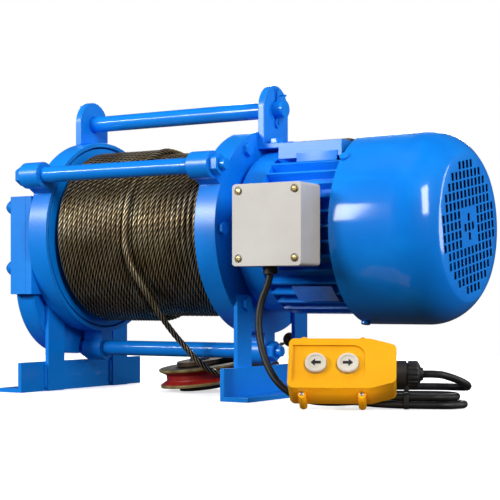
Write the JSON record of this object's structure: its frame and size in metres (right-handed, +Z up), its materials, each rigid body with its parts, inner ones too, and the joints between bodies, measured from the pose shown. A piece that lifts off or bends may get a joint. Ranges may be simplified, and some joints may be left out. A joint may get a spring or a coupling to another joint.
{
  "type": "electric wire rope hoist",
  "caption": "Electric wire rope hoist with ring frame, rope drum, geared finned motor, hanging bar, angle feet, hook block and push-button pendant on a cord.",
  "frame": {"origin": "centre of the four foot bolt holes, on the floor plane", "axes": "+X along the drum towards the motor, +Y to the back, +Z up"},
  "size_m": [0.592, 0.3391, 0.351],
  "materials": {
    "blue_paint": "glossy azure paint",
    "rope_wire": "oiled wire strands",
    "bright_steel": "bright steel",
    "gear_steel": "cut and greased steel",
    "dark_steel": "dark oiled steel",
    "lamination": "stacked sheet steel",
    "sheave_paint": "dark red paint, worn rims",
    "bronze": "plain bush",
    "brass_screw": "yellow passivated",
    "pale_plastic": "light grey moulded",
    "black_plastic": "black moulded",
    "yellow_plastic": "yellow moulded",
    "button_plastic": "off-white moulded",
    "cord_rubber": "black rubber sheath"
  },
  "bodies": {
    "hoist_frame": {"block_strap_lower": "dark_steel", "block_strap_upper": "dark_steel", "box_gland": "black_plastic", "cord_hank": "cord_rubber", "crosshead": "dark_steel", "drum_bearings": "bright_steel", "fan_cover": "blue_paint", "fan_cover_screws": "blue_paint", "gear_case": "blue_paint", "gear_cover": "blue_paint", "gear_cover_bolts": "blue_paint", "hanging_bar": "blue_paint", "hex_bolts": "blue_paint", "layshaft_bearings": "bright_steel", "left_bracket": "blue_paint", "left_foot": "blue_paint", "left_legs": "blue_paint", "left_lug": "blue_paint", "motor_bearings": "bright_steel", "motor_end_shield": "blue_paint", "motor_frame": "blue_paint", "motor_rear_shield": "blue_paint", "pendant_back": "yellow_plastic", "pendant_cord": "cord_rubber", "pendant_front": "yellow_plastic", "pendant_gland": "black_plastic", "pendant_screws": "bright_steel", "right_bracket": "blue_paint", "right_foot": "blue_paint", "right_legs": "blue_paint", "right_lug": "blue_paint", "rope_ferrule": "bright_steel", "rope_tail": "rope_wire", "sheave_pin": "bright_steel", "split_pins": "blue_paint", "stator_core": "lamination", "terminal_box_base": "pale_plastic", "terminal_box_lid": "pale_plastic", "terminal_box_pad": "blue_paint", "terminal_box_screws": "brass_screw", "tie_rod_nuts": "blue_paint", "tie_rods": "blue_paint"},
    "drum_body": {"drum": "blue_paint", "rope_winding": "rope_wire", "drum_gear": "gear_steel"},
    "layshaft_body": {"layshaft": "gear_steel", "layshaft_gear": "gear_steel"},
    "rotor_body": {"motor_shaft": "bright_steel", "rotor": "lamination", "fan": "black_plastic", "input_pinion": "gear_steel"},
    "sheave_body": {"sheave": "sheave_paint", "sheave_bush": "bronze"},
    "hook_body": {"hook": "dark_steel", "hook_nut": "dark_steel", "latch_pin": "bright_steel"},
    "latch_body": {"hook_latch": "dark_steel"},
    "left_button_body": {"button_left": "button_plastic"},
    "right_button_body": {"button_right": "button_plastic"}
  },
  "joints": [
    {"name": "drum_spin", "type": "hinge", "parent": "hoist_frame", "child": "drum_body", "pos_m": [0, 0, 0.185], "axis": [1, 0, 0], "continuous": true},
    {"name": "layshaft_spin", "type": "hinge", "parent": "hoist_frame", "child": "layshaft_body", "pos_m": [0, -0.01502, 0.12691], "axis": [1, 0, 0], "continuous": true},
    {"name": "rotor_spin", "type": "hinge", "parent": "hoist_frame", "child": "rotor_body", "pos_m": [0, 0, 0.185], "axis": [1, 0, 0], "continuous": true},
    {"name": "sheave_spin", "type": "hinge", "parent": "hoist_frame", "child": "sheave_body", "pos_m": [0.022, 0.022, 0.02059], "axis": [-0.0699, -0.0998, 0.9925], "continuous": true},
    {"name": "hook_swivel", "type": "hinge", "parent": "hoist_frame", "child": "hook_body", "pos_m": [0.06299, 0.08054, 0.02936], "axis": [0.5693, 0.813, 0.1219], "continuous": true},
    {"name": "latch_swing", "type": "hinge", "parent": "hook_body", "child": "latch_body", "pos_m": [0.0724, 0.09398, 0.04346], "axis": [-0.8192, 0.5736, 0], "range_deg": [0, 40], "stiffness_Nm_per_rad": 0.02, "springref_deg": -11.46},
    {"name": "left_button_press", "type": "slide", "parent": "hoist_frame", "child": "left_button_body", "axis": [-0.366, 0.7849, -0.5], "range_m": [0, 0.004], "stiffness_N_per_m": 400, "springref_m": -0.001},
    {"name": "right_button_press", "type": "slide", "parent": "hoist_frame", "child": "right_button_body", "axis": [-0.366, 0.7849, -0.5], "range_m": [0, 0.004], "stiffness_N_per_m": 400, "springref_m": -0.001}
  ],
  "couplings": [
    {"joint": "layshaft_spin", "follows": "drum_spin", "ratio": -4.4545},
    {"joint": "rotor_spin", "follows": "drum_spin", "ratio": 19.843}
  ]
}
